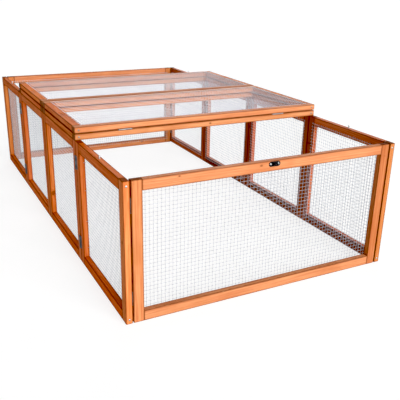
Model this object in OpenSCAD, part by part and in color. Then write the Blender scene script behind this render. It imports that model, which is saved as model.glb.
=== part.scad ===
// Folding outdoor run for small animals: four timber and mesh frames along each
// side, one at each end, and a roof of two fixed frames with a folding lid on
// each. Millimetres, +Z up. The origin is on the ground in the middle of the run.
// -Y is the front end with the near lid, +X the right side.

/* [Run] */
// Width over the side timbers
run_w = 1000; // [800:10:1200]
// Length over the end timbers
run_l = 1840; // [1500:10:2200]
// Height of the side and end frames
side_h = 457; // [360:1:600]

/* [Timber] */
// Face width of a bar
bar_w = 34; // [30:1:42]
// Thickness of a bar
bar_t = 21; // [20:1:26]
// Gap between two side frames in line
seam_gap = 1; // [0.5:0.5:2]
// Gap between an end frame and the side beside it
corner_gap = 4; // [4:0.5:6]

/* [Mesh] */
// Pitch of the welded mesh
mesh_pitch = 12.7; // [10:0.1:25.4]
// Pitch from front to rear of the mesh in the roof and lids
roof_pitch = 25.4; // [12.7:0.1:25.4]
// Diameter of its wires
wire_d = 1.0; // [0.7:0.1:1.2]
// How far the mesh laps onto the bars
mesh_lap = 12; // [9:1:14]

/* [Hinges] */
// Height of a side hinge
hinge_h = 48; // [40:1:60]
// Middle of an upper side hinge below the top of the frame
hinge_top = 77; // [70:1:100]
// Middle of a lower side hinge above the ground
hinge_low = 81; // [60:1:100]
// Knuckle radius
knuckle_r = 2.5; // [2.4:0.1:2.7]
// Hinge pin radius
hinge_pin_r = 1.2; // [1:0.1:1.3]
// Thickness of a leaf
leaf_t = 1.4; // [1.2:0.1:1.5]
// Width of a leaf on the face of a side frame
leaf_w = 13; // [11:0.5:16]
// Middle of a lid hinge from the middle of the run
lid_hinge_x = 320; // [250:5:340]
// Length of a lid hinge
lid_hinge_l = 48; // [40:1:60]

/* [Roof and lids] */
// Distance from the end of the run to the lid's hinge line
lid_run = 457; // [450:0.5:458]
// Radius of a locating pin
pin_r = 2.5; // [2:0.25:3]
// Height of a locating pin above the frame
pin_up = 12; // [8:1:14]
// Radius of the hole that the pin enters in the lid
pin_hole_r = 4; // [4:0.25:5]

/* [Latch] */
// Width of the latch plate
plate_w = 42; // [36:1:50]
// Height of the latch plate
plate_h = 17; // [15:1:18]
// Width of the hasp strap
strap_w = 21; // [19:1:26]

/* [Screws] */
// Radius of a frame screw's head
head_r = 3.6; // [3:0.1:4]
// Radius of its shank
shank_r = 1.8; // [1.5:0.1:2]
// Length of its shank
shank_l = 44; // [40:1:60]

/* [Hidden] */
$fn = 32;

wood = "#E08A4C";
zinc = "#B4BABD";
steel = "#9EA6AA";
black = "#1A1A1C";

fl = (run_l - 3*seam_gap)/4;          // length of one side frame
y0 = -run_l/2;                        // front face of the run
s1 = y0 + fl + seam_gap/2;            // first seam
xi = run_w/2 - bar_t;                 // inner face of a side, from the middle
ax_off = 3;                           // hinge axis above the timber it lies on
c0x = xi - ax_off;                    // corner and middle hinges, from the middle
c0y = y0 + bar_t + 4;                 // corner hinge axis
c1x = run_w/2 + ax_off;               // outside hinges, from the middle
ew = run_w - 2*bar_t - 2*corner_gap;  // width of an end frame
hy = y0 + lid_run;                    // lid hinge line
lid_off = 1.5;                        // lid hinge axis above the timber
hz = side_h + bar_t + lid_off;
lid_leaf_t = 1.1;
edge_in = 2.2;                        // timber edge back from the lid hinge line
lid_len = lid_run - edge_in;
roof_len = -4 - (hy + edge_in);       // fixed frame, to 4 short of the middle
pin_y = y0 + fl/2;
pin_x = run_w/2 - bar_t/2;
end_lap = 5;                          // mesh lap beside the corner hinges
roof_lap = 8;                         // mesh lap on the roof's side bars
hzs = [hinge_low - hinge_h/2, side_h - hinge_top - hinge_h/2];
plate_z = side_h - 11;
hasp_y = y0 - ax_off;                 // hasp axis with the lid shut
hasp_z = side_h + 3;
slot_d = hasp_z - plate_z;            // slot below the hasp axis
strap_l = slot_d + 7;
screw_in = 15;                        // frame screws from the end of a stile

// ---- shared shapes ----

// one bar, given its low and high corners
module bar(a, b) { translate(a) cube([b[0]-a[0], b[1]-a[1], b[2]-a[2]]); }

// Welded mesh lying in X and Y from z = 0 up: crossing wires in two layers, a
// hair apart, so that each wire is a solid of its own.
module mesh_xy(w, h, pitch_y = mesh_pitch) {
    nx = floor((w - 2*wire_d)/mesh_pitch);
    ny = floor((h - 2*wire_d)/pitch_y);
    color(zinc) {
        for (i = [0:nx]) translate([w/2 + (i - nx/2)*mesh_pitch, 0, wire_d/2])
            rotate([-90, 0, 0]) cylinder(r = wire_d/2, h = h, $fn = 16);
        for (j = [0:ny]) translate([0, h/2 + (j - ny/2)*pitch_y, wire_d*1.5 + 0.02])
            rotate([0, 90, 0]) cylinder(r = wire_d/2, h = w, $fn = 16);
    }
}

// the same mesh standing in Y and Z, from x = 0 towards +X
module mesh_yz(w, h) { multmatrix([[0,0,1,0],[1,0,0,0],[0,1,0,0],[0,0,0,1]]) mesh_xy(w, h); }

// the same mesh standing in X and Z, from y = 0 towards -Y
module mesh_xz(w, h) { rotate([90, 0, 0]) mesh_xy(w, h); }

// One leaf of a butt hinge. The pin runs along Z through the origin and the leaf
// reaches along +X. Its low face is at y = off. Knuckles go where own is 1 or 0.
module leaf(w, h, off, t, rk, rp, own, n = 3, reach = 0.4, hole = 2) {
    seg = h/n;
    difference() {
        union() {
            translate([rk + reach, off, 0]) cube([w - rk - reach, t, h]);
            for (k = [0:n-1]) if (k % 2 == own) translate([0, 0, k*seg + 0.15]) {
                cylinder(r = rk, h = seg - 0.3);
                translate([0, off, 0]) cube([rk + reach + 0.5, t, seg - 0.3]);
            }
        }
        translate([0, 0, -1]) cylinder(r = rp + 0.05, h = h + 2);
        for (z = [h*0.16, h*0.84]) translate([(w + rk + reach)/2 + 0.4, off - 1, z])
            rotate([-90, 0, 0]) cylinder(r = hole, h = t + 2);
    }
}

// the pin of such a hinge, headed at both ends
module hinge_pin(h, rp, rk) {
    cylinder(r = rp, h = h);
    for (z = [-0.8, h]) translate([0, 0, z]) cylinder(r = rk*0.8, h = 0.8);
}

// pan-head screw, shank along +Z from the head's underside at z = 0
module screw() {
    cylinder(r = shank_r, h = shank_l);
    translate([0, 0, -1.9]) rotate_extrude()
        polygon([[0, 0], [head_r*0.55, 0], [head_r*0.86, 0.45], [head_r, 1.1], [head_r, 1.9], [0, 1.9]]);
}
module screw_bore() { translate([0, 0, -1]) cylinder(r = shank_r + 0.05, h = shank_l + 1.6); }

// ---- side frames, drawn for the left front and mirrored ----

// y range of the wing (k = 0) and of the frame next to it (k = 1)
function fa(k) = y0 + k*(fl + seam_gap);

module corner_screw_at() {
    for (z = [screw_in, side_h - screw_in]) translate([-pin_x, y0, z]) rotate([-90, 0, 0]) children();
}

module side_frame(k) {
    a = fa(k);
    color(wood) difference() {
        union() {
            bar([-run_w/2, a, 0], [-xi, a + bar_w, side_h]);
            bar([-run_w/2, a + fl - bar_w, 0], [-xi, a + fl, side_h]);
            for (z = [0, side_h - bar_w])
                bar([-run_w/2, a + bar_w + 0.02, z], [-xi, a + fl - bar_w - 0.02, z + bar_w]);
        }
        if (k == 0) {
            corner_screw_at() screw_bore();
            translate([-pin_x, pin_y, side_h - 16]) cylinder(r = pin_r + 0.05, h = 20);
        }
    }
}

module side_mesh(k) {
    a = fa(k);
    ya = a + bar_w - (k == 0 ? end_lap : mesh_lap);
    yb = a + fl - bar_w + mesh_lap;
    translate([-xi, ya, bar_w - mesh_lap]) mesh_yz(yb - ya, side_h - 2*bar_w + 2*mesh_lap);
}

// two frame screws and the pin that locates the shut lid
module wing_fixings() {
    color(steel) {
        corner_screw_at() screw();
        translate([-pin_x, pin_y, side_h - 15.5]) rotate_extrude()
            polygon([[0, 0], [pin_r, 0], [pin_r, 14.7 + pin_up], [pin_r - 0.8, 15.5 + pin_up], [0, 15.5 + pin_up]]);
    }
}

// wing: its leaves of the corner hinges and of the outside hinges, and the pins
module wing_hinges() {
    color(zinc) for (z = hzs) {
        translate([-c0x, c0y, z]) rotate([0, 0, -90]) leaf(20, hinge_h, -ax_off, leaf_t, knuckle_r, hinge_pin_r, 0);
        translate([-c0x, c0y, z]) hinge_pin(hinge_h, hinge_pin_r, knuckle_r);
        translate([-c1x, s1, z]) mirror([0, 1, 0]) rotate([0, 0, 90])
            leaf(leaf_w, hinge_h, -ax_off, leaf_t, knuckle_r, hinge_pin_r, 0);
        translate([-c1x, s1, z]) hinge_pin(hinge_h, hinge_pin_r, knuckle_r);
    }
}

// next frame: the other outside leaves, and its leaves of the middle hinges
module mid_hinges(rear) {
    color(zinc) for (z = hzs) {
        translate([-c1x, s1, z]) rotate([0, 0, 90])
            leaf(leaf_w, hinge_h, -ax_off, leaf_t, knuckle_r, hinge_pin_r, 1);
        translate([-c0x, 0, z]) rotate([0, 0, -90])
            leaf(leaf_w, hinge_h, -ax_off, leaf_t, knuckle_r, hinge_pin_r, rear ? 1 : 0);
        if (!rear) translate([-c0x, 0, z]) hinge_pin(hinge_h, hinge_pin_r, knuckle_r);
    }
}

// ---- end frames, drawn for the front ----

module end_frame() {
    color(wood) {
        for (s = [-1, 1]) bar([min(s*ew/2, s*(ew/2 - bar_w)), y0, 0], [max(s*ew/2, s*(ew/2 - bar_w)), y0 + bar_t, side_h]);
        for (z = [0, side_h - bar_w])
            bar([-ew/2 + bar_w + 0.02, y0, z], [ew/2 - bar_w - 0.02, y0 + bar_t, z + bar_w]);
    }
}

module end_mesh() {
    w = ew - 2*bar_w + 2*mesh_lap;
    translate([-w/2, y0 + bar_t, bar_w - mesh_lap]) mirror([0, 1, 0]) mesh_xz(w, side_h - 2*bar_w + 2*mesh_lap);
}

// the panel's leaves of the corner hinges lie on its end faces, in the corner gap
module end_leaves() {
    color(zinc) for (s = [0, 1]) mirror([s, 0, 0]) for (z = hzs)
        translate([-c0x, c0y, z]) rotate([0, 0, -90])
            leaf(20, hinge_h, corner_gap - ax_off - leaf_t, leaf_t, knuckle_r, hinge_pin_r, 1);
}

module latch_plate() {
    r = plate_h/2;
    color(black) translate([0, y0, plate_z]) rotate([90, 0, 0]) difference() {
        union() {
            for (s = [-1, 1]) translate([s*(plate_w/2 - r), 0, 0]) cylinder(r = r, h = 1.5, $fn = 48);
            translate([-plate_w/2 + r, -r, 0]) cube([plate_w - 2*r, plate_h, 1.5]);
        }
        translate([0, 0, -1]) cylinder(r = 2.25, h = 4);
        for (s = [-1, 1]) translate([s*14.5, 0, -1]) cylinder(r = 1.9, h = 4);
    }
}

module turn_knob() {
    color(black) translate([0, y0, plate_z]) rotate([90, 0, 0]) {
        cylinder(r = 2.2, h = 3.9);
        translate([0, 0, 3.8]) {
            for (s = [-1, 1]) translate([s*3.6, 0, 0]) cylinder(r = 2.4, h = 2.8);
            translate([-3.6, -2.4, 0]) cube([7.2, 4.8, 2.8]);
        }
    }
}

// ---- roof, drawn for the front; the lid is drawn shut and folded back ----

module roof_frame_xy(ya, len, z) {
    color(wood) difference() {
        union() {
            for (y = [ya, ya + len - bar_w]) bar([-run_w/2, y, z], [run_w/2, y + bar_w, z + bar_t]);
            for (s = [-1, 1]) bar([min(s*run_w/2, s*(run_w/2 - bar_w)), ya + bar_w + 0.02, z],
                                  [max(s*run_w/2, s*(run_w/2 - bar_w)), ya + len - bar_w - 0.02, z + bar_t]);
        }
        roof_screw_at(ya, len, z) screw_bore();
    }
}

module roof_screw_at(ya, len, z) {
    for (s = [-1, 1]) {
        translate([s*(run_w/2 - 14), ya, z + bar_t/2]) rotate([-90, 0, 0]) children();
        translate([s*(run_w/2 - 14), ya + len, z + bar_t/2]) rotate([90, 0, 0]) children();
    }
}

module roof_mesh_xy(ya, len, z) {
    w = run_w - 2*bar_w + 2*roof_lap;
    h = len - 2*bar_w + 2*mesh_lap;
    translate([-w/2, ya + bar_w - mesh_lap, z]) mirror([0, 0, 1]) mesh_xy(w, h, roof_pitch);
}

// turns the shut lid about its hinge line to lie back on the fixed frame
module folded() { translate([0, 2*hy, 2*hz]) rotate([180, 0, 0]) children(); }

module lid_leaves(own) {
    for (s = [-1, 1]) translate([s*lid_hinge_x - lid_hinge_l/2, hy, hz]) rotate([90, 0, 90])
        leaf(22, lid_hinge_l, -lid_off, lid_leaf_t, 2.1, 0.95, own, 5, 0.3, 1.8);
}

module fixed_frame() { roof_frame_xy(hy + edge_in, roof_len, side_h); }
module fixed_mesh() { roof_mesh_xy(hy + edge_in, roof_len, side_h); }
module fixed_screws() { color(steel) roof_screw_at(hy + edge_in, roof_len, side_h) screw(); }
module fixed_hinges() {
    color(zinc) {
        lid_leaves(0);
        for (s = [-1, 1]) translate([s*lid_hinge_x - lid_hinge_l/2, hy, hz]) rotate([90, 0, 90])
            hinge_pin(lid_hinge_l, 0.95, 2.1);
    }
}

module lid_frame() {
    folded() difference() {
        roof_frame_xy(y0, lid_len, side_h);
        for (s = [-1, 1]) translate([s*pin_x, pin_y, side_h - 1]) cylinder(r = pin_hole_r, h = pin_up + 3);
    }
}
module lid_mesh() { folded() roof_mesh_xy(y0, lid_len, side_h); }
module lid_screws() { color(steel) folded() roof_screw_at(y0, lid_len, side_h) screw(); }
module lid_hinge_leaves() {
    color(zinc) folded() mirror([0, 1, 0]) translate([0, -2*hy, 0]) lid_leaves(1);
}

// hasp: the leaf is on the lid's free edge, the strap hangs from its knuckle
hasp_w = 24;
module hasp_leaf() {
    color(black) folded() translate([-hasp_w/2, hasp_y, hasp_z]) rotate([180, 0, 0]) rotate([0, 90, 0])
        leaf(17, hasp_w, -ax_off, leaf_t, 2.5, 1.2, 0, 3, 0.4, 1.6);
}
module hasp_strap() {
    color(black) folded() translate([0, hasp_y, hasp_z]) rotate([180, 0, 0]) {
        rotate([0, 90, 0]) translate([0, 0, -hasp_w/2]) hinge_pin(hasp_w, 1.2, 2.1);
        difference() {
            union() {
                translate([-hasp_w/6 + 0.15, 0, 0]) rotate([0, 90, 0]) cylinder(r = 2.5, h = hasp_w/3 - 0.3);
                translate([-hasp_w/6 + 0.15, -0.1, -3.6]) cube([hasp_w/3 - 0.3, 1.4, 3.6]);
                translate([-strap_w/2, -0.1, -strap_l + 6]) cube([strap_w, 1.4, strap_l - 9]);
                for (s = [-1, 1]) translate([s*(strap_w/2 - 6), -0.1, -strap_l + 6]) rotate([-90, 0, 0]) cylinder(r = 6, h = 1.4);
                translate([6 - strap_w/2, -0.1, -strap_l]) cube([strap_w - 12, 1.4, 8]);
            }
            rotate([0, 90, 0]) translate([0, 0, -20]) cylinder(r = 1.25, h = 40);
            for (s = [-1, 1]) translate([s*3.6, -1, -slot_d]) rotate([-90, 0, 0]) cylinder(r = 3.2, h = 4);
            translate([-3.6, -1, -slot_d - 3.2]) cube([7.2, 4, 6.4]);
        }
    }
}

module lr(s) { if (s > 0) mirror([1, 0, 0]) children(); else children(); }
module fr(s) { if (s > 0) mirror([0, 1, 0]) children(); else children(); }

side_frame(0);  // left_front_wing_frame
side_mesh(0);  // left_front_wing_mesh
wing_hinges();  // left_front_wing_hinges
wing_fixings();  // left_front_wing_fixings
lr(1) side_frame(0);  // right_front_wing_frame
lr(1) side_mesh(0);  // right_front_wing_mesh
lr(1) wing_hinges();  // right_front_wing_hinges
lr(1) wing_fixings();  // right_front_wing_fixings
side_frame(1);  // left_front_mid_frame
side_mesh(1);  // left_front_mid_mesh
mid_hinges(false);  // left_front_mid_hinges
lr(1) side_frame(1);  // right_front_mid_frame
lr(1) side_mesh(1);  // right_front_mid_mesh
lr(1) mid_hinges(false);  // right_front_mid_hinges
fr(1) side_frame(1);  // left_rear_mid_frame
fr(1) side_mesh(1);  // left_rear_mid_mesh
fr(1) mid_hinges(true);  // left_rear_mid_hinges
fr(1) lr(1) side_frame(1);  // right_rear_mid_frame
fr(1) lr(1) side_mesh(1);  // right_rear_mid_mesh
fr(1) lr(1) mid_hinges(true);  // right_rear_mid_hinges
fr(1) side_frame(0);  // left_rear_wing_frame
fr(1) side_mesh(0);  // left_rear_wing_mesh
fr(1) wing_hinges();  // left_rear_wing_hinges
fr(1) wing_fixings();  // left_rear_wing_fixings
fr(1) lr(1) side_frame(0);  // right_rear_wing_frame
fr(1) lr(1) side_mesh(0);  // right_rear_wing_mesh
fr(1) lr(1) wing_hinges();  // right_rear_wing_hinges
fr(1) lr(1) wing_fixings();  // right_rear_wing_fixings
end_frame();  // front_panel_frame
end_mesh();  // front_panel_mesh
end_leaves();  // front_panel_hinge_leaves
latch_plate();  // front_latch_plate
turn_knob();  // front_turn_knob
fr(1) end_frame();  // rear_panel_frame
fr(1) end_mesh();  // rear_panel_mesh
fr(1) end_leaves();  // rear_panel_hinge_leaves
fr(1) latch_plate();  // rear_latch_plate
fr(1) turn_knob();  // rear_turn_knob
fixed_frame();  // front_roof_frame
fixed_mesh();  // front_roof_mesh
fixed_hinges();  // front_roof_hinges
fixed_screws();  // front_roof_screws
fr(1) fixed_frame();  // rear_roof_frame
fr(1) fixed_mesh();  // rear_roof_mesh
fr(1) fixed_hinges();  // rear_roof_hinges
fr(1) fixed_screws();  // rear_roof_screws
lid_frame();  // front_lid_frame
lid_mesh();  // front_lid_mesh
lid_hinge_leaves();  // front_lid_hinge_leaves
lid_screws();  // front_lid_screws
hasp_leaf();  // front_hasp_leaf
hasp_strap();  // front_hasp_strap
fr(1) lid_frame();  // rear_lid_frame
fr(1) lid_mesh();  // rear_lid_mesh
fr(1) lid_hinge_leaves();  // rear_lid_hinge_leaves
fr(1) lid_screws();  // rear_lid_screws
fr(1) hasp_leaf();  // rear_hasp_leaf
fr(1) hasp_strap();  // rear_hasp_strap
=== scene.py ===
import math
import random

import bmesh
import bpy
import numpy as np
from mathutils import Matrix, Vector

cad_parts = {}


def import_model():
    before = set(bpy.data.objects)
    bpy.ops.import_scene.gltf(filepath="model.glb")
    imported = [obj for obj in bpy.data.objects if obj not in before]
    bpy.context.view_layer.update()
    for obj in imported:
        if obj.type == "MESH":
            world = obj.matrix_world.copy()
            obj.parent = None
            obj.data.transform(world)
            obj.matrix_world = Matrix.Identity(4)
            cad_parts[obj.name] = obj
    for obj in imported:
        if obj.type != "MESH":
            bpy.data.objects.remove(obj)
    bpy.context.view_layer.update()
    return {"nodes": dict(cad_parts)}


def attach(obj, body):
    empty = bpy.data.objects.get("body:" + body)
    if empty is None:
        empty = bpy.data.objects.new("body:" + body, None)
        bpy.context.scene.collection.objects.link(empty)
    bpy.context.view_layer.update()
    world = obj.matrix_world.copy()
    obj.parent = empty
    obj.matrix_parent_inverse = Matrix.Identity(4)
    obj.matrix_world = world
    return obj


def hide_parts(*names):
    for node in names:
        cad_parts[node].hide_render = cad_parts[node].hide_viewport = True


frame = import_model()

scene = bpy.context.scene
MM = 0.001

# ---------------------------------------------------------------- sizes, mm
RUN_W, RUN_L, SIDE_H = 1000.0, 1840.0, 457.0
BAR_W, BAR_T = 34.0, 21.0
SEAM, CORNER = 1.0, 4.0
PITCH, ROOF_PITCH, WIRE, LAP = 12.7, 25.4, 1.0, 12.0
HINGE_H, HINGE_TOP, HINGE_LOW = 48.0, 77.0, 81.0
FL = (RUN_L - 3 * SEAM) / 4
Y0 = -RUN_L / 2
S1 = Y0 + FL + SEAM / 2
XI = RUN_W / 2 - BAR_T
C0X, C0Y, C1X = XI - 3, Y0 + BAR_T + 4, RUN_W / 2 + 3
EW = RUN_W - 2 * BAR_T - 2 * CORNER
HY = Y0 + 457
HZ = SIDE_H + BAR_T + 1.5
EDGE_IN = 2.2
LID_LEN = 457 - EDGE_IN
ROOF_LEN = -4 - (HY + EDGE_IN)
PIN_Y = Y0 + FL / 2
PIN_X = RUN_W / 2 - BAR_T / 2
HZS = (HINGE_LOW - HINGE_H / 2, SIDE_H - HINGE_TOP - HINGE_H / 2)
PLATE_Z = SIDE_H - 11

# ---------------------------------------------------------------- node helpers


class Tree:
    """Short calls for building one node material."""

    def __init__(self, name):
        self.mat = bpy.data.materials.new(name)
        self.mat.use_nodes = True
        self.nt = self.mat.node_tree
        self.nt.nodes.clear()
        self.out = self.nt.nodes.new("ShaderNodeOutputMaterial")
        self.bsdf = self.nt.nodes.new("ShaderNodeBsdfPrincipled")
        self.nt.links.new(self.bsdf.outputs[0], self.out.inputs[0])

    def put(self, socket, value):
        if isinstance(value, bpy.types.NodeSocket):
            self.nt.links.new(value, socket)
        elif value is not None:
            socket.default_value = value

    def math(self, op, a, b=None, c=None, clamp=False):
        n = self.nt.nodes.new("ShaderNodeMath")
        n.operation, n.use_clamp = op, clamp
        for i, v in enumerate((a, b, c)):
            if v is not None:
                self.put(n.inputs[i], v)
        return n.outputs[0]

    def vec(self, op, a, b=None, scale=None):
        n = self.nt.nodes.new("ShaderNodeVectorMath")
        n.operation = op
        self.put(n.inputs[0], a)
        if b is not None:
            self.put(n.inputs[1], b)
        if scale is not None:
            self.put(n.inputs["Scale"], scale)
        return n.outputs["Value"] if op in ("LENGTH", "DISTANCE", "DOT_PRODUCT") else n.outputs["Vector"]

    def attr(self, name, kind="Vector"):
        n = self.nt.nodes.new("ShaderNodeAttribute")
        n.attribute_name = name
        return n.outputs[kind]

    def split(self, v):
        n = self.nt.nodes.new("ShaderNodeSeparateXYZ")
        self.put(n.inputs[0], v)
        return n.outputs[0], n.outputs[1], n.outputs[2]

    def join(self, x, y, z):
        n = self.nt.nodes.new("ShaderNodeCombineXYZ")
        for i, v in enumerate((x, y, z)):
            self.put(n.inputs[i], v)
        return n.outputs[0]

    def noise(self, v, scale, detail=2.0, rough=0.5, distort=0.0):
        n = self.nt.nodes.new("ShaderNodeTexNoise")
        self.put(n.inputs["Vector"], v)
        n.inputs["Scale"].default_value = scale
        n.inputs["Detail"].default_value = detail
        n.inputs["Roughness"].default_value = rough
        n.inputs["Distortion"].default_value = distort
        return n.outputs["Fac"]

    def range(self, v, a, b, c=0.0, d=1.0, smooth=True):
        n = self.nt.nodes.new("ShaderNodeMapRange")
        n.interpolation_type = "SMOOTHSTEP" if smooth else "LINEAR"
        n.clamp = True
        self.put(n.inputs["Value"], v)
        for k, x in zip(("From Min", "From Max", "To Min", "To Max"), (a, b, c, d)):
            self.put(n.inputs[k], x)
        return n.outputs["Result"]

    def mix(self, f, a, b, mode="MIX"):
        n = self.nt.nodes.new("ShaderNodeMix")
        n.data_type, n.blend_type = "RGBA", mode
        n.clamp_factor = True
        for k, v in ((0, f), (6, a), (7, b)):
            if isinstance(v, tuple) and len(v) == 3:
                v = (*v, 1.0)
            self.put(n.inputs[k], v)
        return n.outputs[2]

    def ramp(self, v, stops):
        n = self.nt.nodes.new("ShaderNodeValToRGB")
        self.put(n.inputs[0], v)
        e = n.color_ramp.elements
        while len(e) < len(stops):
            e.new(0.5)
        for x, (p, c) in zip(e, stops):
            x.position, x.color = p, (*c, 1.0)
        return n.outputs[0]

    def bump(self, height, strength, distance, normal=None):
        n = self.nt.nodes.new("ShaderNodeBump")
        n.inputs["Strength"].default_value = strength
        n.inputs["Distance"].default_value = distance
        self.put(n.inputs["Height"], height)
        if normal is not None:
            self.put(n.inputs["Normal"], normal)
        return n.outputs[0]


# ---------------------------------------------------------------- materials


def timber_material():
    t = Tree("stained_softwood")
    bc, bh, bo = t.attr("bar_at"), t.attr("bar_half"), t.attr("bar_seed")
    tone, pith = t.attr("bar_tone"), t.attr("bar_pith")
    L, A, B = t.split(bc)
    hL, hA, hB = t.split(bh)
    p = t.vec("ADD", bc, bo)
    pL, pA, pB = t.split(p)

    # knots: distance from each in units of its own radius
    knots = []
    for k in ("a", "b", "c"):
        d = t.vec("LENGTH", t.vec("MULTIPLY", t.vec("SUBTRACT", bc, t.attr("knot_" + k)), t.attr("knot_" + k + "_s")))
        wob = t.noise(t.join(t.math("MULTIPLY", pL, 90), t.math("MULTIPLY", pA, 90), t.math("MULTIPLY", pB, 90)), 1.0, 2.0)
        knots.append(t.math("ADD", d, t.math("MULTIPLY", t.math("SUBTRACT", wob, 0.5), 0.9)))
    near = t.math("MINIMUM", t.math("MINIMUM", knots[0], knots[1]), knots[2])
    flow = t.range(near, 0.6, 3.2, 1.0, 0.0)

    # growth rings round a pith that runs beside the bar
    oL, oA, oB = t.split(pith)
    low = t.noise(t.join(t.math("MULTIPLY", pL, 2.2), t.math("MULTIPLY", pA, 14), t.math("MULTIPLY", pB, 14)), 1.0, 2.0)
    low2 = t.noise(t.join(t.math("MULTIPLY", pL, 9), t.math("MULTIPLY", pA, 60), t.math("MULTIPLY", pB, 60)), 1.0, 2.0)
    shift = t.math("ADD", t.math("MULTIPLY", t.math("SUBTRACT", low, 0.5), 0.020), t.math("MULTIPLY", t.math("SUBTRACT", low2, 0.5), 0.0022))
    ra = t.math("SUBTRACT", A, oA)
    rb = t.math("SUBTRACT", B, oB)
    ra = t.math("ADD", ra, t.math("MULTIPLY", L, oL))
    radius = t.math("ADD", t.vec("LENGTH", t.join(0.0, ra, rb)), shift)
    radius = t.math("ADD", radius, t.math("MULTIPLY", flow, 0.0042))
    ring = t.math("FRACT", t.math("DIVIDE", radius, 0.0034))
    late = t.math("MULTIPLY", t.range(ring, 0.35, 0.86), t.range(ring, 0.88, 0.995, 1.0, 0.0))
    strength = t.range(t.noise(t.join(t.math("MULTIPLY", pL, 5), t.math("MULTIPLY", pA, 40), t.math("MULTIPLY", pB, 40)), 1.0, 1.0), 0.3, 0.7, 0.45, 1.0)
    late = t.math("MULTIPLY", late, strength)

    # fibres and pores along the bar
    fibre = t.noise(t.join(t.math("MULTIPLY", pL, 22), t.math("MULTIPLY", pA, 900), t.math("MULTIPLY", pB, 900)), 1.0, 3.0, 0.6)
    sway = t.math("MULTIPLY", t.math("SUBTRACT", low, 0.5), 0.014)
    streak = t.noise(t.join(t.math("MULTIPLY", pL, 5.0), t.math("MULTIPLY", t.math("ADD", pA, sway), 210), t.math("MULTIPLY", t.math("ADD", pB, sway), 210)), 1.0, 4.0, 0.6)
    blotch = t.noise(p, 7.0, 3.0, 0.55)

    tv, th, ts = t.split(tone)
    # painted shade: the face that looks into the run is drawn darker, standing in for the shade inside the run
    inner_shade_amount, end_stain, way = t.split(t.attr("bar_shade_stain_side"))
    painted_inner_shade = t.math("MULTIPLY", t.range(t.math("MULTIPLY", t.math("DIVIDE", B, hB), way), 0.90, 0.98), inner_shade_amount)
    light, dark = (0.69, 0.180, 0.060), (0.46, 0.085, 0.021)
    c = t.mix(t.math("MULTIPLY", late, 0.62), light, dark)
    c = t.mix(t.range(streak, 0.44, 0.66, 0.0, 0.50), c, (0.53, 0.118, 0.023))
    c = t.mix(t.range(streak, 0.58, 0.40, 0.0, 0.42), c, (0.84, 0.31, 0.105))
    c = t.mix(t.range(fibre, 0.52, 0.80, 0.0, 0.30), c, (0.38, 0.085, 0.018))
    c = t.mix(t.range(blotch, 0.45, 0.66, 0.0, 0.46), c, (0.55, 0.125, 0.026))

    # knot: dark bark ring, brown heart
    heart = t.range(near, 0.86, 1.06, 1.0, 0.0)
    core = t.range(near, 0.0, 0.72, 1.0, 0.0)
    rim = t.math("MULTIPLY", t.range(near, 0.74, 1.0), t.range(near, 1.0, 1.30, 1.0, 0.0))
    halo = t.range(near, 0.9, 2.6, 0.42, 0.0)
    c = t.mix(halo, c, (0.48, 0.118, 0.026))
    c = t.mix(heart, c, (0.36, 0.088, 0.022))
    c = t.mix(t.math("MULTIPLY", core, 0.50), c, (0.19, 0.043, 0.012))
    c = t.mix(t.math("MULTIPLY", rim, 0.60), c, (0.14, 0.031, 0.010))

    # end grain takes more stain, and the wood is drawn darker in a band along the arrises
    dL = t.math("SUBTRACT", hL, t.math("ABSOLUTE", L))
    dA = t.math("SUBTRACT", hA, t.math("ABSOLUTE", A))
    dB = t.math("SUBTRACT", hB, t.math("ABSOLUTE", B))
    end = t.range(dL, 0.0003, 0.0013, 1.0, 0.0)
    c = t.mix(t.math("MULTIPLY", end, end_stain), c, (0.21, 0.043, 0.011))
    end_ring = t.math("MULTIPLY", end, t.math("MULTIPLY", late, 0.55))
    c = t.mix(end_ring, c, (0.11, 0.022, 0.007))
    joint = t.range(dL, 0.0008, 0.0034, 0.55, 0.0)
    c = t.mix(joint, c, (0.23, 0.047, 0.010))
    edge = t.range(t.math("MAXIMUM", dA, dB), 0.0008, 0.0050, 1.0, 0.0)
    wear_n = t.noise(t.vec("ADD", p, (3.1, 1.7, 5.3)), 34.0, 4.0, 0.62)
    c = t.mix(t.math("MULTIPLY", edge, 0.78), c, (0.24, 0.044, 0.008))
    worn = t.math("MULTIPLY", t.range(t.math("MAXIMUM", dA, dB), 0.0003, 0.0014, 1.0, 0.0), t.range(wear_n, 0.58, 0.70))
    c = t.mix(t.math("MULTIPLY", worn, 0.50), c, (0.80, 0.40, 0.17))
    # small dents and rubbed spots
    rub = t.range(t.noise(t.vec("ADD", p, (7.7, 2.9, 0.4)), 95.0, 2.0, 0.5), 0.70, 0.76)
    c = t.mix(t.math("MULTIPLY", rub, 0.30), c, (0.38, 0.095, 0.025))

    hsv = t.nt.nodes.new("ShaderNodeHueSaturation")
    t.put(hsv.inputs["Hue"], th)
    t.put(hsv.inputs["Saturation"], ts)
    # painted shade on the inner face lowers the value here
    t.put(hsv.inputs["Value"], t.math("MULTIPLY", tv, t.math("SUBTRACT", 1.0, painted_inner_shade)))
    t.put(hsv.inputs["Color"], c)
    t.put(t.bsdf.inputs["Base Color"], hsv.outputs[0])

    rough = t.math("ADD", t.range(fibre, 0.2, 0.8, 0.56, 0.70), t.math("MULTIPLY", late, -0.06))
    rough = t.math("ADD", rough, t.math("MULTIPLY", worn, 0.10))
    rough = t.math("ADD", rough, t.math("MULTIPLY", end, 0.16), clamp=True)
    t.put(t.bsdf.inputs["Roughness"], rough)
    t.bsdf.inputs["Specular IOR Level"].default_value = 0.10
    h = t.math("ADD", t.math("MULTIPLY", fibre, 0.5), t.math("MULTIPLY", late, 0.45))
    h = t.math("SUBTRACT", h, t.math("MULTIPLY", rim, 0.9))
    h = t.math("SUBTRACT", h, t.math("MULTIPLY", rub, 0.7))
    t.put(t.bsdf.inputs["Normal"], t.bump(h, 0.55, 0.00035))
    return t.mat


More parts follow.
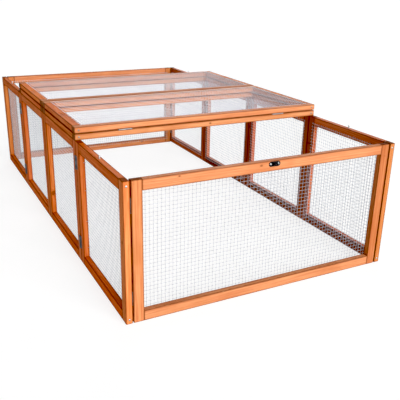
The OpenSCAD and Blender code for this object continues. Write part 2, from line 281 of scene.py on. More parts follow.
def metal_material(name, base, dark, rough, metallic, scale, spangle=0.0, stain=None, stain_at=0.72, bump=0.0001):
    """Plated or galvanised steel: colour drifts in patches, with fine grain and dull spots."""
    t = Tree(name)
    tex = t.nt.nodes.new("ShaderNodeTexCoord")
    p = tex.outputs["Object"]
    patch = t.noise(p, scale, 3.0, 0.55)
    fine = t.noise(p, scale * 9, 3.0, 0.6)
    c = t.mix(t.range(patch, 0.32, 0.70), base, dark)
    if spangle:
        v = t.nt.nodes.new("ShaderNodeTexVoronoi")
        t.put(v.inputs["Vector"], p)
        v.inputs["Scale"].default_value = scale * 4
        s = t.range(t.split(v.outputs["Color"])[0], 0.0, 1.0, 0.0, spangle, smooth=False)
        c = t.mix(s, c, tuple(min(1.0, x * 1.35) for x in base))
    if stain:
        c = t.mix(t.range(t.noise(t.vec("ADD", p, (1.3, 4.1, 2.2)), scale * 2.3, 4.0, 0.65), stain_at, stain_at + 0.1, 0.0, 0.8), c, stain)
    t.put(t.bsdf.inputs["Base Color"], c)
    t.bsdf.inputs["Metallic"].default_value = metallic
    t.put(t.bsdf.inputs["Roughness"], t.range(fine, 0.25, 0.75, rough - 0.08, rough + 0.10))
    t.put(t.bsdf.inputs["Normal"], t.bump(fine, 0.5, bump))
    return t.mat


def black_material():
    t = Tree("black_coated_steel")
    tex = t.nt.nodes.new("ShaderNodeTexCoord")
    p = tex.outputs["Object"]
    peel = t.noise(p, 900, 2.0, 0.5)
    patch = t.noise(p, 140, 3.0, 0.6)
    wear = t.math("MULTIPLY", t.attr("edge_wear", "Fac"), t.range(patch, 0.48, 0.60))
    c = t.mix(t.range(patch, 0.3, 0.7), (0.011, 0.011, 0.013), (0.022, 0.021, 0.022))
    c = t.mix(t.math("MULTIPLY", wear, 0.8), c, (0.20, 0.19, 0.18))
    t.put(t.bsdf.inputs["Base Color"], c)
    t.put(t.bsdf.inputs["Roughness"], t.range(peel, 0.3, 0.7, 0.30, 0.42))
    t.bsdf.inputs["Metallic"].default_value = 0.0
    t.bsdf.inputs["Specular IOR Level"].default_value = 0.35
    t.put(t.bsdf.inputs["Normal"], t.bump(peel, 0.35, 0.00012))
    return t.mat


M_WOOD = timber_material()
# painted shade: the end panels' wire is a darker copy of the same galvanised wire
M_MESH_END_SHADED = metal_material("galvanised_wire_end_painted_shade", (0.48, 0.50, 0.54), (0.38, 0.40, 0.44), 0.42, 0.28, 70, spangle=0.35, stain=(0.22, 0.22, 0.21), bump=0.00006)
# painted reflection: the roof and lid wire is a paler, bluer, less metallic copy of the galvanised wire, standing in
# for the sky reflecting in it
M_MESH_TOP_SHEEN = metal_material("galvanised_wire_top_painted_sheen", (0.77, 0.79, 0.86), (0.68, 0.71, 0.79), 0.46, 0.06, 70, spangle=0.30, stain=(0.50, 0.50, 0.49), bump=0.00006)
M_MESH = metal_material("galvanised_wire", (0.62, 0.66, 0.71), (0.49, 0.53, 0.58), 0.42, 0.28, 70, spangle=0.35, stain=(0.30, 0.30, 0.29), bump=0.00006)
M_HINGE = metal_material("zinc_plated_hinge", (0.46, 0.47, 0.48), (0.25, 0.26, 0.28), 0.38, 0.75, 55, stain=(0.34, 0.30, 0.25), stain_at=0.66)
M_SCREW = metal_material("zinc_plated_screw", (0.50, 0.51, 0.52), (0.36, 0.37, 0.39), 0.34, 0.85, 120, stain=(0.36, 0.33, 0.29), stain_at=0.68)
M_BRIGHT = metal_material("bright_zinc_screw", (0.66, 0.67, 0.68), (0.50, 0.51, 0.53), 0.26, 0.9, 160, stain=(0.5, 0.48, 0.45), stain_at=0.74)
M_PIN = metal_material("zinc_pin_and_screws", (0.60, 0.60, 0.60), (0.44, 0.44, 0.45), 0.36, 0.68, 110, stain=(0.42, 0.40, 0.37), stain_at=0.72)
M_DULL = metal_material("dull_zinc_screw", (0.36, 0.35, 0.34), (0.25, 0.24, 0.23), 0.42, 0.8, 120, stain=(0.30, 0.26, 0.22), stain_at=0.68)
M_BLACK = black_material()

# ---------------------------------------------------------------- timber bars


def profile(ha, hb, r, near=None):
    """Rounded rectangle, counter-clockwise, with a point beside each arris to keep the faces flat."""
    pts, n, s = [], 3, 2.2
    for k, (sa, sb) in enumerate(((1, 1), (-1, 1), (-1, -1), (1, -1))):
        ca, cb = sa * (ha - r), sb * (hb - r)
        arc = [(ca + r * math.cos(math.pi / 2 * (k + i / n)), cb + r * math.sin(math.pi / 2 * (k + i / n))) for i in range(n + 1)]
        a0, a1 = arc[0], arc[-1]
        t0 = (-math.sin(math.pi / 2 * k), math.cos(math.pi / 2 * k))
        t1 = (-math.sin(math.pi / 2 * (k + 1)), math.cos(math.pi / 2 * (k + 1)))
        pts.append((a0[0] - t0[0] * s, a0[1] - t0[1] * s))
        pts += arc
        pts.append((a1[0] + t1[0] * s, a1[1] + t1[1] * s))
    return pts


def bar_shell(hl, ha, hb, r=1.1, e=0.55):
    """(points, faces) of a planed bar with eased arrises, along its first axis, in mm about its middle."""
    rings = []
    for x, inset in ((-hl, e + 2.2), (-hl, e), (-hl + e, 0.0), (-hl + e + 2.4, 0.0), (-hl * 0.33, 0.0), (hl * 0.33, 0.0),
                     (hl - e - 2.4, 0.0), (hl - e, 0.0), (hl, e), (hl, e + 2.2)):
        rings.append([(x, a, b) for a, b in profile(ha - inset, hb - inset, r)])
    n = len(rings[0])
    pts = [p for ring in rings for p in ring]
    faces = [[k * n + (i + 1) % n, k * n + i, (k + 1) * n + i, (k + 1) * n + (i + 1) % n][::-1] for k in range(len(rings) - 1) for i in range(n)]
    faces.append(list(range(n))[::-1])
    faces.append([(len(rings) - 1) * n + i for i in range(n)])
    return pts, faces


def drill(pts, faces, holes):
    """Cuts round holes in a bar: holes are (place, direction, radius, depth), in the bar's own axes, mm."""
    me = bpy.data.meshes.new("cut")
    me.from_pydata(pts, [], faces)
    ob = bpy.data.objects.new("cut", me)
    scene.collection.objects.link(ob)
    tools = []
    for at, way, radius, depth in holes:
        bm = bmesh.new()
        bmesh.ops.create_cone(bm, cap_ends=True, segments=28, radius1=radius, radius2=radius, depth=2 * depth)
        m = Matrix.Translation(at) @ Vector(way).to_track_quat("Z", "Y").to_matrix().to_4x4()
        bmesh.ops.transform(bm, matrix=m, verts=bm.verts)
        tm = bpy.data.meshes.new("tool")
        bm.to_mesh(tm)
        bm.free()
        tool = bpy.data.objects.new("tool", tm)
        scene.collection.objects.link(tool)
        mod = ob.modifiers.new("hole", "BOOLEAN")
        mod.operation, mod.object, mod.solver = "DIFFERENCE", tool, "EXACT"
        tools.append(tool)
    bpy.context.view_layer.update()
    got = ob.evaluated_get(bpy.context.evaluated_depsgraph_get()).to_mesh()
    out = [tuple(v.co) for v in got.vertices], [list(f.vertices) for f in got.polygons]
    ob.evaluated_get(bpy.context.evaluated_depsgraph_get()).to_mesh_clear()
    for o in [ob, *tools]:
        data = o.data
        bpy.data.objects.remove(o)
        bpy.data.meshes.remove(data)
    return out


rng = random.Random(20417)


class Bar:
    """One bar: its box in mm in the row frame, its long axis, and how its wood looks."""

    def __init__(self, lo, hi, along, tone=1.0, knots=(), holes=(), seed=None, red=0.0, spare=True, sat=1.0, warm=0.0, inner_face_shade=(0.0, 0.0), end_stain=0.85):
        self.lo, self.hi, self.along = lo, hi, along
        size = [hi[i] - lo[i] for i in range(3)]
        others = [i for i in range(3) if i != along]
        others.sort(key=lambda i: -size[i])
        self.axes = (along, *others)
        self.half = [size[i] / 2 for i in self.axes]
        self.mid = [(lo[i] + hi[i]) / 2 for i in range(3)]
        self.holes = holes
        # painted shade amount on the inner face, end-grain stain, and which way the inner face looks
        self.face = (inner_face_shade[0], end_stain, inner_face_shade[1])
        r = random.Random(seed if seed is not None else rng.random())
        self.seed = [r.uniform(-20, 20) for _ in range(3)]
        self.tone = [tone * r.uniform(0.93, 1.06), 0.5 + r.uniform(-0.003, 0.003) + warm - red, sat * r.uniform(0.985, 1.015)]
        turn = r.uniform(0, 2 * math.pi)
        away = r.uniform(0.014, 0.055)
        self.pith = [r.uniform(-0.030, 0.030), away * math.cos(turn), away * math.sin(turn)]
        self.knots = []
        for place, face, radius in knots:
            at = [(place[i] - self.mid[i]) * MM for i in self.axes]
            s = [1 / (radius * MM * 1.35) if k == 0 else 1 / (radius * MM) for k in range(3)]
            s[self.axes.index(face)] = 0.0
            self.knots.append((at, s))
        if spare:
            for _ in range(r.choice((0, 0, 0, 1) if self.half[0] > 300 else (0, 0, 0, 0, 1))):
                if len(self.knots) < 3:
                    radius = r.uniform(2.6, 5.2)
                    face = r.choice((1, 1, 2))
                    s = [1 / (radius * MM * 1.4), 1 / (radius * MM), 1 / (radius * MM)]
                    s[3 - face] = 0.0
                    at = [r.uniform(-0.86, 0.86) * self.half[0] * MM, r.uniform(-0.8, 0.8) * self.half[1] * MM, r.uniform(-0.8, 0.8) * self.half[2] * MM]
                    self.knots.append((at, s))
        while len(self.knots) < 3:
            self.knots.append(([9.0, 9.0, 9.0], [1.0, 1.0, 1.0]))

    def world(self, pts):
        out = np.zeros((len(pts), 3))
        for k, i in enumerate(self.axes):
            out[:, i] = np.array(pts)[:, k] + self.mid[i]
        return out


def timber(name, body, node, bars):
    """One piece of several bars, in place of a CAD frame node."""
    points, faces, rows = [], [], []
    for bar in bars:
        p, f = bar_shell(*(h - 0.02 for h in bar.half))
        if bar.holes:
            p, f = drill(p, f, bar.holes)
        flip = np.linalg.det(np.eye(3)[list(bar.axes)]) < 0
        base = len(points)
        points += [tuple(x) for x in bar.world(p) * MM]
        faces += [[base + i for i in (q[::-1] if flip else q)] for q in f]
        rows += [(bar, x) for x in p]
    me = bpy.data.meshes.new(name)
    me.from_pydata(points, [], faces)
    me.validate()
    data = {
        "bar_at": [np.array(x) * MM for _, x in rows],
        "bar_half": [np.array(b.half) * MM for b, _ in rows],
        "bar_seed": [b.seed for b, _ in rows],
        "bar_tone": [b.tone for b, _ in rows],
        "bar_pith": [b.pith for b, _ in rows],
        "bar_shade_stain_side": [b.face for b, _ in rows],
    }
    for k, letter in enumerate("abc"):
        data["knot_" + letter] = [b.knots[k][0] for b, _ in rows]
        data["knot_" + letter + "_s"] = [b.knots[k][1] for b, _ in rows]
    for key, values in data.items():
        a = me.attributes.new(key, "FLOAT_VECTOR", "POINT")
        a.data.foreach_set("vector", np.array(values, np.float32).ravel())
    ob = bpy.data.objects.new(name, me)
    scene.collection.objects.link(ob)
    me.materials.append(M_WOOD)
    for f in me.polygons:
        f.use_smooth = True
    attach(ob, body)
    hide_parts(node)
    return ob


def mirrored(v, sx, sy):
    return (v[0] * sx, v[1] * sy, v[2])


def box_of(a, b, sx, sy):
    p, q = mirrored(a, sx, sy), mirrored(b, sx, sy)
    return tuple(map(min, p, q)), tuple(map(max, p, q))


# knots that the photograph shows, by frame: (place, axis that it goes through, radius)
KNOTS = {
    ("left_front_mid", "stile2"): [((-489.0, -34.5, 121.0), 1, 6.6)],
    ("left_front_wing", "stile2"): [((-487.0, -494.7, 421.0), 1, 4.0)],
    ("right_front_mid", "stile2"): [((479.0, -10.0, 306.0), 0, 4.0)],
    ("front_panel", "top"): [((-48.3, -920.0, 445.8), 1, 3.0), ((-327.0, -920.0, 450.0), 1, 2.0)],
    ("rear_panel", "bottom"): [((283.0, 899.0, 21.6), 1, 3.6)],
    ("front_roof", "front"): [((18.0, -460.8, 469.0), 1, 3.0)],
    ("front_lid", "rear"): [((-198.0, -20.0, 502.0), 2, 5.0)],
}
# painted shade: the right side frames are drawn darker than the left, for the shade inside the run; their top rails a
# little less dark
SIDE_SHADE_TONES = {"left": 1.0, "right": 0.80}
SIDE_SAT = {("left", "bottom"): 1.05, ("left", "top"): 1.00, ("left", "stile2"): 1.00, ("right", "top"): 0.96, ("right", "bottom"): 0.99}
SIDE_WARM = {("left", "bottom"): -0.005, ("right", "bottom"): -0.005, ("right", "top"): -0.005, ("right", "stile2"): -0.004, ("right", "stile1"): -0.003}
# painted sheen: the roof and lid front and rear bars, and a little the right bars, are drawn paler and warmer, standing
# in for the sheen of light on their faces
ROOF_SHEEN_TINT = {"front": {"sat": 0.895, "warm": 0.011}, "rear": {"sat": 0.885, "warm": 0.009}, "left": {"sat": 1.0, "warm": 0.001}, "right": {"sat": 0.94, "warm": 0.004}}
# painted light and shade: the left roof and lid bars are drawn lighter, the right bars and the rear roof's front and
# rear bars darker, as the light falls on them
ROOF_LIGHT_SHADE_TONE = {("rear", "front"): 0.84, ("rear", "rear"): 0.94, ("front", "left"): 1.20, ("rear", "left"): 1.20, ("front", "right"): 0.88, ("rear", "right"): 0.88}

for side, sx in (("left", 1), ("right", -1)):
    for end, sy in (("front", 1), ("rear", -1)):
        for part, k in (("wing", 0), ("mid", 1)):
            body = f"{side}_{end}_{part}"
            a = Y0 + k * (FL + SEAM)
            spec = {
                "stile1": ((-RUN_W / 2, a, 0), (-XI, a + BAR_W, SIDE_H), 2),
                "stile2": ((-RUN_W / 2, a + FL - BAR_W, 0), (-XI, a + FL, SIDE_H), 2),
                "bottom": ((-RUN_W / 2, a + BAR_W + 0.02, 0), (-XI, a + FL - BAR_W - 0.02, BAR_W), 1),
                "top": ((-RUN_W / 2, a + BAR_W + 0.02, SIDE_H - BAR_W), (-XI, a + FL - BAR_W - 0.02, SIDE_H), 1),
            }
            # painted shade: how much darker each bar's inner face is drawn; less on the top rails and on the rear wings
            dark = {"top": 0.10, "bottom": 0.55}
            # painted sheen: the wing's first stile, whose front face the light falls on, is drawn paler and warmer than
            # the other bars
            bars = [Bar(*box_of(p, q, sx, sy), along, SIDE_SHADE_TONES[side] * (1.08 if (side, key) == ("right", "top") else 1.0), KNOTS.get((body, key), ()), sat=0.955 if (part, key) == ("wing", "stile1") else SIDE_SAT.get((side, key), 0.99), warm=0.007 if (part, key) == ("wing", "stile1") else SIDE_WARM.get((side, key), -0.001),
                        inner_face_shade=(0.15 if (end, part) == ("rear", "wing") else dark.get(key, 0.42), sx)) for key, (p, q, along) in spec.items()]
            timber(f"{body}_timber", body, f"{body}_frame", bars)

for end, sy in (("front", 1), ("rear", -1)):
    spec = {
        "left": ((-EW / 2, Y0, 0), (-EW / 2 + BAR_W, Y0 + BAR_T, SIDE_H), 2),
        "right": ((EW / 2 - BAR_W, Y0, 0), (EW / 2, Y0 + BAR_T, SIDE_H), 2),
        "bottom": ((-EW / 2 + BAR_W + 0.02, Y0, 0), (EW / 2 - BAR_W - 0.02, Y0 + BAR_T, BAR_W), 0),
        "top": ((-EW / 2 + BAR_W + 0.02, Y0, SIDE_H - BAR_W), (EW / 2 - BAR_W - 0.02, Y0 + BAR_T, SIDE_H), 0),
    }
    # painted sheen: the panel bars are drawn paler and warmer, standing in for the sheen on their lit front faces;
    # painted shade: their inner faces a little darker
    bars = [Bar(*box_of(p, q, 1, sy), along, {"left": 0.825, "right": 0.75}.get(key, 0.87), KNOTS.get((f"{end}_panel", key), ()), spare=False, sat={"top": 0.885, "left": 0.925, "right": 0.935}.get(key, 0.905), warm=0.010 if key in ("top", "bottom") else 0.007, inner_face_shade=(0.06, sy)) for key, (p, q, along) in spec.items()]
    timber(f"{end}_panel_timber", f"{end}_panel", f"{end}_panel_frame", bars)

    def roof_spec(ya, length, z):
        return {
            "front": ((-RUN_W / 2, ya, z), (RUN_W / 2, ya + BAR_W, z + BAR_T), 0),
            "rear": ((-RUN_W / 2, ya + length - BAR_W, z), (RUN_W / 2, ya + length, z + BAR_T), 0),
            "left": ((-RUN_W / 2, ya + BAR_W + 0.02, z), (-RUN_W / 2 + BAR_W, ya + length - BAR_W - 0.02, z + BAR_T), 1),
            "right": ((RUN_W / 2 - BAR_W, ya + BAR_W + 0.02, z), (RUN_W / 2, ya + length - BAR_W - 0.02, z + BAR_T), 1),
        }

    bars = [Bar(*box_of(p, q, 1, sy), along, 0.88 * ROOF_LIGHT_SHADE_TONE.get((end, key), 1.0), KNOTS.get((f"{end}_roof", key), ()), spare=False, end_stain=0.30, **ROOF_SHEEN_TINT[key]) for key, (p, q, along) in roof_spec(HY + EDGE_IN, ROOF_LEN, SIDE_H).items()]
    timber(f"{end}_roof_timber", f"{end}_roof", f"{end}_roof_frame", bars)

    # the lid, folded back: y and z are turned about the hinge line
    z0 = 2 * HZ - SIDE_H - BAR_T
    bars = []
    for key, (p, q, along) in roof_spec(2 * HY - Y0 - LID_LEN, LID_LEN, z0).items():
        lo, hi = box_of(p, q, 1, sy)
        holes = []
        if key in ("left", "right"):
            # the bore that a locating pin enters opens on the face that is up now
            at_y = sy * (2 * HY - PIN_Y) - (lo[1] + hi[1]) / 2
            x = (-PIN_X if key == "left" else PIN_X) - (lo[0] + hi[0]) / 2
            holes = [((at_y, x, BAR_T / 2), (0, 0, 1), 4.0, 14.0)]
        bars.append(Bar(lo, hi, along, 0.90 * ROOF_LIGHT_SHADE_TONE.get((end, key), 1.0), KNOTS.get((f"{end}_lid", key), ()), holes, spare=False, end_stain=0.30, **ROOF_SHEEN_TINT[key]))
    timber(f"{end}_lid_timber", f"{end}_lid", f"{end}_lid_frame", bars)

# ---------------------------------------------------------------- small hardware


def merge(parts):
    """Joins (points, faces) lists into one."""
    pts, faces = [], []
    for p, f in parts:
        base = len(pts)
        pts += p
        faces += [[base + i for i in q] for q in f]
    return pts, faces


def lathe(prof, n=28):
    """Turns (radius, height) points about Z; the first and last are on the axis."""
    pts, faces = [(0.0, 0.0, prof[0][1])], []
    for r, z in prof[1:-1]:
        pts += [(r * math.cos(2 * math.pi * i / n), r * math.sin(2 * math.pi * i / n), z) for i in range(n)]
    pts.append((0.0, 0.0, prof[-1][1]))
    m, last = len(prof) - 2, len(pts) - 1
    for i in range(n):
        j = (i + 1) % n
        faces.append([0, 1 + j, 1 + i])
        for k in range(m - 1):
            a, b = 1 + k * n, 1 + (k + 1) * n
            faces.append([a + i, a + j, b + j, b + i])
        b = 1 + (m - 1) * n
        faces.append([b + i, b + j, last])
    return pts, faces


def tapered_box(hx, hy, top, low, draft):
    """A box about Z whose sides lean in towards the low end."""
    k = draft
    pts = [(sx * (hx if z == top else hx * k), sy * (hy if z == top else hy * k), z) for z in (low, top) for sx, sy in ((-1, -1), (1, -1), (1, 1), (-1, 1))]
    faces = [[3, 2, 1, 0], [4, 5, 6, 7], [0, 1, 5, 4], [1, 2, 6, 5], [2, 3, 7, 6], [3, 0, 4, 7]]
    return pts, faces


def cut(base, tools):
    """Exact difference of (points, faces) solids, in mm."""
    def obj(data, name):
        me = bpy.data.meshes.new(name)
        me.from_pydata(data[0], [], data[1])
        ob = bpy.data.objects.new(name, me)
        scene.collection.objects.link(ob)
        return ob
    ob = obj(base, "base")
    made = [obj(x, "tool") for x in tools]
    for x in made:
        mod = ob.modifiers.new("cut", "BOOLEAN")
        mod.operation, mod.object, mod.solver = "DIFFERENCE", x, "EXACT"
    bpy.context.view_layer.update()
    shown = ob.evaluated_get(bpy.context.evaluated_depsgraph_get())
    got = shown.to_mesh()
    out = [tuple(v.co) for v in got.vertices], [list(f.vertices) for f in got.polygons]
    shown.to_mesh_clear()
    for x in [ob, *made]:
        data = x.data
        bpy.data.objects.remove(x)
        bpy.data.meshes.remove(data)
    return out


def screw_solid(r, dome, rim, shank_r, shank_l, arm, deep):
    """Cross-recess screw standing on z = 0 with its shank below."""
    arc = [(r * math.cos(a), rim + (dome - rim) * math.sin(a)) for a in [math.pi / 2 * i / 7 for i in range(8)]]
    prof = [(0, -shank_l), (shank_r * 0.3, -shank_l), (shank_r, -shank_l + shank_r * 1.6), (shank_r, 0), (r * 0.96, 0), (r, rim * 0.4)] + arc[:-1] + [(0, dome)]
    top = dome + 0.4
    return cut(lathe(prof), [tapered_box(arm, arm * 0.24, top, dome - deep, 0.55), tapered_box(arm * 0.24, arm, top, dome - deep, 0.55)])


PAN = screw_solid(3.6, 1.9, 0.55, 1.8, 40.0, 2.1, 1.25)
FLUSH = screw_solid(2.9, 0.30, 0.08, 1.6, 11.0, 1.6, 0.9)
OVAL = screw_solid(3.25, 1.15, 0.20, 1.7, 15.0, 1.9, 1.0)
BLACK = screw_solid(2.8, 0.95, 0.20, 1.45, 12.0, 1.6, 0.85)


def placed(data, at, normal, spin=0.0, sy=1):
    """The solid moved so that its +Z looks along normal. sy is not used."""
    q = Vector(normal).to_track_quat("Z", "Y").to_matrix().to_4x4()
    m = Matrix.Translation(at) @ q @ Matrix.Rotation(spin, 4, "Z")
    pts = [m @ Vector(p) for p in data[0]]
    return [tuple(p) for p in pts], data[1]


def staple_solid(gap, half=4.6, leg=7.0, wide=1.0, thick=0.6):
    """Staple whose crown lies along X, its underside gap above z = 0, with its legs below."""
    r, z = 0.9, gap + thick / 2
    path = [(-half, -leg), (-half, z - r)]
    path += [(-half + r - r * math.cos(a), z - r + r * math.sin(a)) for a in (math.radians(30), math.radians(60))]
    path += [(-half + r, z), (half - r, z)]
    path += [(half - r + r * math.sin(a), z - r + r * math.cos(a)) for a in (math.radians(30), math.radians(60))]
    path += [(half, z - r), (half, -leg)]
    pts, faces = [], []
    for i, (x, y) in enumerate(path):
        a, b = path[max(0, i - 1)], path[min(len(path) - 1, i + 1)]
        d = math.hypot(b[0] - a[0], b[1] - a[1])
        nx, ny = -(b[1] - a[1]) / d, (b[0] - a[0]) / d
        for s, w in ((1, -1), (1, 1), (-1, 1), (-1, -1)):
            pts.append((x + nx * s * thick / 2, w * wide / 2, y + ny * s * thick / 2))
    for i in range(len(path) - 1):
        for k in range(4):
            j = (k + 1) % 4
            faces.append([4 * i + k, 4 * i + j, 4 * i + 4 + j, 4 * i + 4 + k][::-1])
    faces += [[0, 1, 2, 3], [4 * len(path) - 1 - k for k in range(4)]]
    return pts, faces


LOW_STAPLE = staple_solid(WIRE)
HIGH_STAPLE = staple_solid(2 * WIRE + 0.02)


def piece(name, data, body, mat, smooth=True, node=None, sharp=40.0):
    """Makes one piece from (points in mm, faces) and lets it ride on a body."""
    me = bpy.data.meshes.new(name)
    me.from_pydata([tuple(v * MM for v in p) for p in data[0]], [], data[1])
    me.validate()
    bm = bmesh.new()
    bm.from_mesh(me)
    bmesh.ops.recalc_face_normals(bm, faces=bm.faces)
    bm.to_mesh(me)
    bm.free()
    ob = bpy.data.objects.new(name, me)
    scene.collection.objects.link(ob)
    me.materials.append(mat)
    if smooth:
        for f in me.polygons:
            f.use_smooth = True
        me.set_sharp_from_angle(angle=math.radians(sharp))
    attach(ob, body)
    if node:
        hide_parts(node)
    return ob


def frame_along(u, n):
    """Turns a solid whose X is u and whose Z is n."""
    u, n = Vector(u), Vector(n)
    return Matrix((u, n.cross(u), n)).transposed().to_4x4()


def stapled(data, at, u, n):
    m = Matrix.Translation(at) @ frame_along(u, n)
    return [tuple(m @ Vector(p)) for p in data[0]], data[1]


def spread(a, b, count):
    return [a + (b - a) * i / (count - 1) for i in range(count)]


def between(value, first, pitch):
    """The place nearest to value that is half way between two wires."""
    return first + (round((value - first) / pitch - 0.5) + 0.5) * pitch


def wires(lo, hi, margin, pitch=PITCH):
    """First wire of a row that is centred between lo and hi."""
    n = math.floor((hi - lo - margin) / pitch)
    return (lo + hi) / 2 - n * pitch / 2, n


def staples_on_face(x0, x1, y0_, y1, to_world, ux, uy, nz, edges, counts, pitch=PITCH, inward=0.0):
    """Staples round one mesh. x runs along the second-layer wires and y along the first-layer ones."""
    fx, nx = wires(x0, x1, 2 * WIRE)
    fy, ny = wires(y0_, y1, 2 * WIRE, pitch)
    out = []
    # along the two bars that the first-layer wires follow
    for side, (wire_x, shift) in enumerate(((fx, edges[0]), (fx + nx * PITCH, -edges[1]))):
        if abs(shift) > 90:
            # no wire runs along this bar, so the staples hold the ends of the crossing wires
            x = x0 + 2.6
            for y in spread(y0_ + 50, y1 - 50, counts[0]):
                yy = fy + round((y - fy) / pitch) * pitch
                out.append(stapled(HIGH_STAPLE, to_world(x, yy), uy, nz))
            continue
        for y in spread(y0_ + 45, y1 - 45, counts[0]):
            out.append(stapled(LOW_STAPLE, to_world(wire_x - shift, between(y, fy, pitch)), ux, nz))
    for wire_y in (fy + inward, fy + ny * pitch - inward):
        for x in spread(x0 + 60, x1 - 60, counts[1]):
            out.append(stapled(HIGH_STAPLE, to_world(between(x, fx, PITCH), wire_y), uy, nz))
    return merge(out)


HOLE_Z = (HINGE_H * 0.16, HINGE_H * 0.84)
for side, sx in (("left", 1), ("right", -1)):
    for end, sy in (("front", 1), ("rear", -1)):
        flip = (sx, sy)

        def at(x, y, z):
            return Vector((x * flip[0], y * flip[1], z))

        for part, k in (("wing", 0), ("mid", 1)):
            body = f"{side}_{end}_{part}"
            a = Y0 + k * (FL + SEAM)
            ya, yb = a + BAR_W - (5 if k == 0 else LAP), a + FL - BAR_W + LAP
            data = staples_on_face(ya, yb, BAR_W - LAP, SIDE_H - BAR_W + LAP, lambda y, z: at(-XI, y, z),
                                   (0, 1, 0), (0, 0, 1), (sx, 0, 0), (99 if k == 0 else 0.0, -1.5 if k == 0 else 0.0), (4, 4))
            piece(f"{body}_staples", data, body, M_SCREW, smooth=False)
            heads = []
            for h in HZS:
                for z in HOLE_Z:
                    r = random.Random(h + z + sx * 3 + sy * 7 + k)
                    spin = r.uniform(0, 3.1)
                    if k == 0:
                        heads.append(placed(FLUSH, at(-C0X - 1.6, C0Y - 11.85, h + z), (sx, 0, 0), spin))
                        heads.append(placed(FLUSH, at(-C1X + 1.6, S1 - 8.35, h + z), (-sx, 0, 0), spin + 1))
                    else:
                        heads.append(placed(FLUSH, at(-C1X + 1.6, S1 + 8.35, h + z), (-sx, 0, 0), spin))
                        heads.append(placed(FLUSH, at(-C0X - 1.6, -8.35, h + z), (sx, 0, 0), spin + 1))
            piece(f"{body}_hinge_screws", merge(heads), body, M_SCREW)
            if k == 0:
                set_ = [placed(PAN, at(-PIN_X, Y0, z), (0, -sy, 0), 0.4 + z) for z in (15, SIDE_H - 15)]
                tip = [(0, 0), (2.3, 0), (2.5, 0.2), (2.5, 26.3), (2.28, 27.0), (1.75, 27.4), (0, 27.5)]
                pts, faces = lathe(tip, 32)
                set_.append(([tuple(at(-PIN_X, PIN_Y, SIDE_H - 15.5) + Vector(p)) for p in pts], faces))
                piece(f"{body}_screws_and_pin", merge(set_), body, M_PIN, node=f"{body}_fixings")

for end, sy in (("front", 1), ("rear", -1)):
    def at(x, y, z):
        return Vector((x, y * sy, z))

    body = f"{end}_panel"
    w = EW - 2 * BAR_W + 2 * LAP
    data = staples_on_face(-w / 2, w / 2, BAR_W - LAP, SIDE_H - BAR_W + LAP, lambda x, z: at(x, Y0 + BAR_T, z),
                           (1, 0, 0), (0, 0, 1), (0, sy, 0), (0.0, 0.0), (4, 8))
    piece(f"{body}_staples", data, body, M_SCREW, smooth=False)
    heads = [placed(FLUSH, at(s * (C0X + 0.4), C0Y - 11.85, h + z), (s, 0, 0), 0.3 * h + z) for s in (-1, 1) for h in HZS for z in HOLE_Z]
    piece(f"{body}_hinge_screws", merge(heads), body, M_SCREW)
    heads = [placed(OVAL, at(s * 14.5, Y0 - 1.5, PLATE_Z), (0, -sy, 0), 0.5 + s) for s in (-1, 1)]
    piece(f"{end}_latch_screws", merge(heads), body, M_BRIGHT)

    rw = RUN_W - 2 * BAR_W + 16
    for part, ya, length, z, face in (("roof", HY + EDGE_IN, ROOF_LEN, SIDE_H, -1), ("lid", 2 * HY - Y0 - LID_LEN, LID_LEN, 2 * HZ - SIDE_H, 1)):
        body = f"{end}_{part}"
        my0, my1 = ya + BAR_W - LAP, ya + length - BAR_W + LAP
        data = staples_on_face(-rw / 2, rw / 2, my0, my1, lambda x, y: at(x, y, z), (1, 0, 0), (0, 1, 0), (0, 0, face), (1.5, 1.5), (4, 8),
                               ROOF_PITCH, 3.0 if part == "lid" else 0.0)
        piece(f"{body}_staples", data, body, M_SCREW, smooth=False)
        mid = SIDE_H + BAR_T / 2 if part == "roof" else 2 * HZ - SIDE_H - BAR_T / 2
        heads = []
        for s in (-1, 1):
            heads.append(placed(PAN, at(s * (RUN_W / 2 - 14), ya, mid), (0, -sy, 0), 1.1 + s))
            heads.append(placed(PAN, at(s * (RUN_W / 2 - 14), ya + length, mid), (0, sy, 0), 0.2 + s))
        piece(f"{body}_frame_screws", merge(heads), body, M_DULL, node=f"{body}_screws")
        face_z, n = (HZ - 0.4, 1) if part == "roof" else (HZ + 0.4, -1)
        heads = [placed(FLUSH, at(s * 320 - 24 + x, HY + 12.6, face_z), (0, 0, n), x + s) for s in (-1, 1) for x in (48 * 0.16, 48 * 0.84)]
        piece(f"{body}_hinge_screws", merge(heads), body, M_SCREW)
    heads = [placed(BLACK, at(s * 8.16, -4.6, 488.65), (0, sy, 0), 0.7 * s) for s in (-1, 1)]
    piece(f"{end}_hasp_screws", merge(heads), f"{end}_lid", M_BLACK)


def stadium(half, r, n=14):
    """Outline of a rounded slot shape, counter-clockwise."""
    return ([(half + r * math.cos(a), r * math.sin(a)) for a in [-math.pi / 2 + math.pi * i / n for i in range(n + 1)]]
            + [(-half + r * math.cos(a), r * math.sin(a)) for a in [math.pi / 2 + math.pi * i / n for i in range(n + 1)]])


def pressed(half, r, z0, z1, e):
    """A flat pressing with softened top edges; also returns how near each point is to the worn edge."""
    pts, wear, faces = [], [], []
    steps = [(0.0, z0, 0.0), (0.0, z1 - e, 0.3), (0.0 + e * 0.3, z1 - e * 0.3, 1.0), (e, z1, 0.8), (e + 0.7, z1, 0.0)]
    n = 0
    for inset, z, w in steps:
        ring = stadium(half, r - inset)
        n = len(ring)
        pts += [(x, y, z) for x, y in ring]
        wear += [w] * n
    for k in range(len(steps) - 1):
        faces += [[k * n + i, k * n + (i + 1) % n, (k + 1) * n + (i + 1) % n, (k + 1) * n + i] for i in range(n)]
    faces.append(list(range(n))[::-1])
    faces.append([(len(steps) - 1) * n + i for i in range(n)])
    return pts, faces, wear


